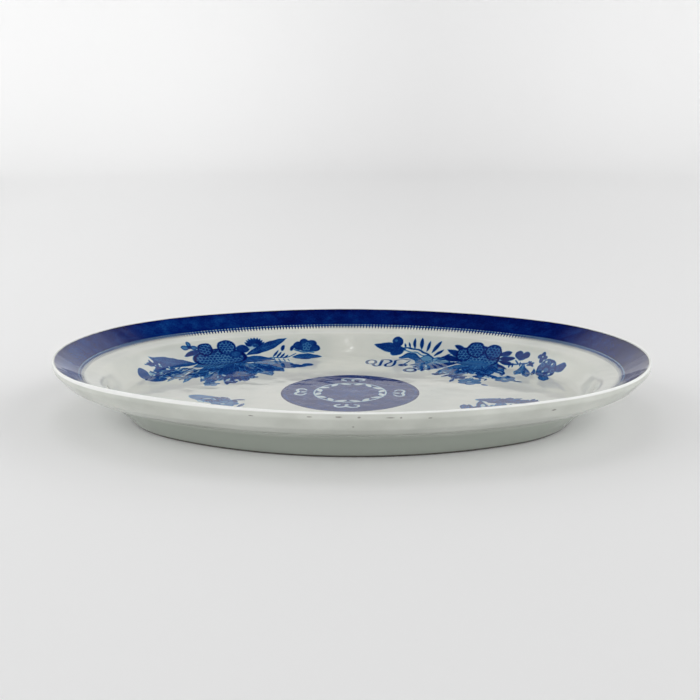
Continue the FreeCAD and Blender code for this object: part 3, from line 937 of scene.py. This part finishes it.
def back_marks(colour):
    """Grey-green streaks, painted shade low on the outer wall, a dark foot line partly burnt and partly
    painted shade, a painted highlight on the lip and iron spots on the rim's front.
    """
    height = node("SeparateXYZ", {0: here()}).outputs[2]
    height = over(height, MM)
    along, across = strip_at()
    streaks = between(noise(30, 4, 0.6, (1, 1, 3)), 0.5, 0.75, 0.0, 0.35)
    # Painted shade: the lower outer wall, under the rim and facing the floor, is darkened towards the foot.
    painted_wall_shade = between(height, 20.5, 14.5, 0.0, 0.95)
    # Partly burnt iron brown where the glaze ends, partly painted shade where the foot meets the floor: the
    # glaze darkens towards its lower edge.
    burnt_line_and_foot_shade = between(height, 2.4, 1.3, 0.0, 0.8)
    # Painted highlight: the outer rounding of the lip is whitened where light catches it.
    lip = times(between(height, 44.7, 45.7), between(across, 1.1, 0.7))
    for share, tint in (
        (streaks, (0.47, 0.50, 0.455)), (painted_wall_shade, (0.38, 0.415, 0.37)), (burnt_line_and_foot_shade, IRON),
        (lip, (0.93, 0.94, 0.92)),
    ):
        colour = blend(share, colour, tint)
    ragged = times(noise(1.6, 3, 0.6), 0.9)
    outside = maths("LESS_THAN", across, 12)
    for right, up, long, short in FRONT_SPOTS:
        aside = over(minus(along, FRONT_MIDDLE + right), long)
        above = over(minus(height, up), short)
        spot = between(plus(span(aside, above), ragged), 1.5, 0.9, 0.0, 0.6)
        colour = blend(times(spot, outside), colour, IRON)
    return colour


def bare_clay(name, light, dark, flashed, grain, edge=0.0):
    """Unglazed porcelain: matt, gritty, and flashed orange or brown in patches.

    An edge is how strongly the clay next to the glaze is darkened nearly to black: partly burnt iron brown,
    partly painted shade where the foot meets the floor.
    """
    material = Sheet.of(bpy.data.materials.new(name))
    colour = blend(between(noise(30, 5, 0.6), 0.35, 0.7), light, dark)
    patch = between(noise(55, 4, 0.6), 0.5, 0.68, 0.0, 0.7)
    colour = blend(patch, colour, flashed)
    colour = blend(specks(4, 0.5, 0.3), colour, (0.12, 0.08, 0.05))
    pits = between(noise(grain, 4, 0.7), 0.55, 0.7, 0.0, 0.35)
    colour = blend(pits, colour, (0.3, 0.24, 0.17))
    if edge:
        # Partly painted shade: the foot's edge is darkened nearly to black where it meets the floor.
        _, across = strip_at()
        near = between(plus(across, noise(5, 3)), *BURNT_AND_SHADED_EDGE, 0.0, edge)
        colour = blend(near, colour, (0.010, 0.008, 0.005))
    height = plus(noise(grain, 5, 0.7), noise(6, 3))
    bump = node("Bump", {"Strength": 0.9, "Distance": 0.0003, "Height": height}).outputs[0]
    rough = between(noise(12, 3), 0.3, 0.7, 0.62, 0.85)
    finish_material({"Base Color": colour, "Roughness": rough, "Normal": bump})
    return material


# ---- pieces

def settle(piece, material, slot, *nodes):
    """Give a piece its material and its body, and hide the CAD nodes that it stands for; the slot is not
    used.
    """
    piece.data.materials.append(material)
    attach(piece, "root")
    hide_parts(*nodes)


def make_dish_body():
    """The clay dish under the glaze, bare inside the foot, with the marks of the turning tool."""
    top = beside(rounded([RIM_CORNER, *WELL], 1.5, 3), -GLAZE)
    top[0] = CLAY_TOP
    under = beside(rounded([CLAY_SIDE, *BACK], 1.5, 3), GLAZE)
    rings = list(reversed(floor_rings(FLAT_FLOOR, 8, FLOOR - GLAZE, 6)))
    rings += [oval_ring(*point) for point in top[::-1]]
    below = [oval_ring(*point) for point in under]
    for inset in np.arange(FOOT_ROOT[0] - 8, FOOT_ROOT[0] + 3, 2.0):
        below.append(oval_ring(inset, FOOT_HEIGHT))
    turned = floor_rings(FOOT_ROOT[0] + 3, 4, FOOT_HEIGHT, 90)
    for number, ring in enumerate(turned):
        ring[:, 2] += 0.09 * math.sin(number * 1.9) + 0.05 * math.sin(number * 0.7)
    below += turned
    return capped("dish_body", rings + below, under=len(below))


def make_foot_ring():
    line = rounded([(FOOT_TOP[0] + GLAZE, FOOT_HEIGHT), FOOT_EDGE, FOOT_INNER, FOOT_ROOT], 0.2, 1.2)
    return loft("foot_ring_bare", [oval_ring(*point) for point in line], line[:, 0], under=1.0)


def make_back_glaze():
    start = (BAND_START, flange_at(BAND_START))
    return glaze_ring("glaze_back_and_lip", [start, RIM_CORNER, *BACK, GLAZE_STOP], side=1, under=1.0)


def make_well_glaze():
    """The clear coat of the shoulder, the well wall and the floor, as far as the medallion."""
    count = 40
    top = [oval_ring(*point) for point in FACE] + floor_rings(FLAT_FLOOR, MEDALLION, FLOOR, count)
    under = [oval_ring(*point) for point in beside(FACE, -GLAZE)]
    under += floor_rings(FLAT_FLOOR, MEDALLION, FLOOR - GLAZE, count)
    insets = np.concatenate([FACE[:, 0], np.full(count, FLAT_FLOOR)])
    return loft("glaze_of_the_well", top + under[::-1], np.concatenate([insets, insets[::-1]]))


def make_medallion():
    count = 108
    rings = [circle_ring(MEDALLION * (part + 1) / count, FLOOR) for part in range(count)]
    rings.append(circle_ring(MEDALLION, FLOOR - GLAZE))
    rings.append(circle_ring(6, FLOOR - GLAZE))
    return capped("painted_medallion", rings, ink=paint_medallion)


clear = glazed("clear_glaze")
painted = glazed("painted_glaze", ink=lambda: node("Attribute", attribute_name="ink").outputs["Fac"])

settle(make_dish_body(),
       bare_clay("bare_porcelain", (0.72, 0.68, 0.60), (0.62, 0.56, 0.47), (0.62, 0.40, 0.24), 0.8),
       "porcelain", "porcelain_body")
settle(make_foot_ring(),
       bare_clay("bare_foot", (0.52, 0.45, 0.35), (0.40, 0.33, 0.24), (0.36, 0.24, 0.15), 0.5, 1.0),
       "foot_porcelain", "foot_ring")
settle(make_back_glaze(), glazed("back_glaze", BACK_GLAZE, speck_share=0.22, extra=back_marks),
       "back_glaze", "back_glaze")
coats = {ink: glazed(name, ink=ink) for name, ink in [
    ("border_cobalt", band_ink), ("tinged_glaze", gap_ink), ("line_cobalt", line_ink),
    ("spearhead_cobalt", spearhead_ink),
]}
for name, start, end, ink, slot, stands_for in [
    ("border_of_trellis", BAND_START, BAND_END, band_ink, "border_cobalt", "border_band"),
    ("border_gap", BAND_END, LINE_START, gap_ink, "clear_glaze", "border_gap_glaze"),
    ("border_thin_line", LINE_START, LINE_END, line_ink, "line_cobalt", "border_line"),
    ("spearhead_gap", LINE_END, ROW_START, gap_ink, "clear_glaze", "spearhead_gap_glaze"),
    ("row_of_spearheads", ROW_START, ROW_END, spearhead_ink, "line_cobalt", "spearhead_row"),
]:
    ring = glaze_ring(name, [(start, flange_at(start)), (end, flange_at(end))])
    settle(ring, coats[ink], slot, stands_for)
settle(make_well_glaze(), clear, "clear_glaze", "well_glaze")
settle(make_medallion(), painted, "medallion_cobalt",
       "medallion_ground", "medallion_reserve_ring", "medallion_reserve_scrolls")
for name, low, high, paint, turned in [
    ("spray_back_left", (-183, 5), (-30, 135), paint_peony_spray, False),
    ("spray_back_right", (4, 10), (182, 141), paint_ribbon_spray, False),
    ("spray_front_right", (-183, 5), (-30, 135), paint_peony_spray, True),
    ("spray_front_left", (4, 10), (182, 141), paint_ribbon_spray, True),
]:
    settle(painted_patch("painted_" + name, low, high, paint, turned), painted, "spray_cobalt", name)


# ---- studio

def make_stage():
    """A round pale floor that sweeps up into a low wall all round, open above."""
    radius, sweep, wall = 2300.0, 500.0, 740.0
    section = [(radius * part / 12, 0.0) for part in range(1, 13)]
    section += [(radius + sweep * math.sin(turn), sweep * (1 - math.cos(turn)))
                for turn in np.radians(np.arange(6, 91, 6))]
    section.append((radius + sweep, wall))
    bearings = np.radians(np.arange(STEPS) * 360 / STEPS)
    flat = np.column_stack([np.cos(bearings), np.sin(bearings), np.zeros(STEPS)])
    rings = [flat * reach + (0, 0, height) for reach, height in section]
    points = np.concatenate(rings + [np.zeros((1, 3))])
    step = np.arange(STEPS)
    fan = np.column_stack([step, (step + 1) % STEPS, np.full(STEPS, len(points) - 1)])
    stage = write_mesh("stage", points, ring_quads(len(rings), False), fan)
    material = Sheet.of(bpy.data.materials.new("studio_paper"))
    tone = blend(noise(900, 2), (0.78, 0.78, 0.78), (0.76, 0.76, 0.76))
    across, away, _ = node("SeparateXYZ", {0: here()}).outputs
    # Painted light: the paper glows a little everywhere, and more towards the left, the right and far away,
    # as a pool of light on the floor.
    left = between(across, 0.1, -0.8, 0.09, 0.19)
    right = between(across, 0.0, 0.8, 0.0, 0.07)
    painted_floor_light = plus(left, right, between(away, 0.6, 2.3, 0.0, 0.04))
    finish_material({
        "Base Color": tone, "Roughness": 0.9, "Specular IOR Level": 0.1,
        "Emission Color": (1, 1, 1, 1), "Emission Strength": painted_floor_light,
    })
    stage.data.materials.append(material)
    stage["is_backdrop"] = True


def make_world():
    """Soft light from all round, brightest at the sides and in front, and darkest overhead."""
    world = Sheet.of(bpy.data.worlds.new("studio"))
    way = node("TexCoord").outputs["Generated"]
    across, away, up = node("SeparateXYZ", {0: way}).outputs
    low = between(up, 0.83, 0.60, 0.02, 0.82)
    behind = between(away, -0.2, 0.2)
    ahead = times(between(up, 0.30, 0.55, 0.3, 2.2), minus(1.0, behind))
    left = between(across, -0.45, -0.85, 0.0, 1.8)
    right = between(across, 0.45, 0.85, 0.0, 2.2)
    sides = maths("MAXIMUM", left, right)
    strength = maths("MAXIMUM", times(low, plus(ahead, behind)), sides)
    light = node("Background", {"Color": (1.0, 1.0, 1.0, 1), "Strength": strength})
    node("OutputWorld", {"Surface": light.outputs[0]})
    bpy.context.scene.world = world


def make_lamp(name, place, target, size, energy, mirrored=True):
    """A round lamp; one that is not mirrored lights the glaze without a reflection in it."""
    light = bpy.data.lights.new(name, "AREA")
    light.shape = "DISK"
    light.size = size
    light.energy = energy
    lamp = add_object(name, light)
    lamp.location = place
    lamp.rotation_euler = (Vector(target) - Vector(place)).to_track_quat("-Z", "Y").to_euler()
    lamp.visible_glossy = mirrored


def make_camera():
    """A long lens from just above the rim, in front and slightly to the right."""
    data = bpy.data.cameras.new("camera")
    data.lens = 60.6
    data.sensor_width = 36
    data.clip_end = 20
    camera = add_object("camera", data)
    place = (0.0592, -0.894, 0.258)
    heading, dip, roll = 0.066, 0.231, -0.0045
    camera.matrix_world = (
        Matrix.Translation(place)
        @ Matrix.Rotation(heading, 4, "Z")
        @ Matrix.Rotation(math.pi / 2 - dip, 4, "X")
        @ Matrix.Rotation(roll, 4, "Z")
    )
    bpy.context.scene.camera = camera


make_stage()
make_world()
make_lamp("softbox_overhead", (-0.25, 0.30, 1.8), (0, 0, 0), 1.2, 5.0, mirrored=False)
make_lamp("lamp_above_the_camera", (-0.0285, -0.60, 1.33), (0, 0, 0), 0.006, 0.06)
make_camera()
bpy.context.scene.view_settings.view_transform = "Standard"

bpy.context.view_layer.update()
low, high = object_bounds()
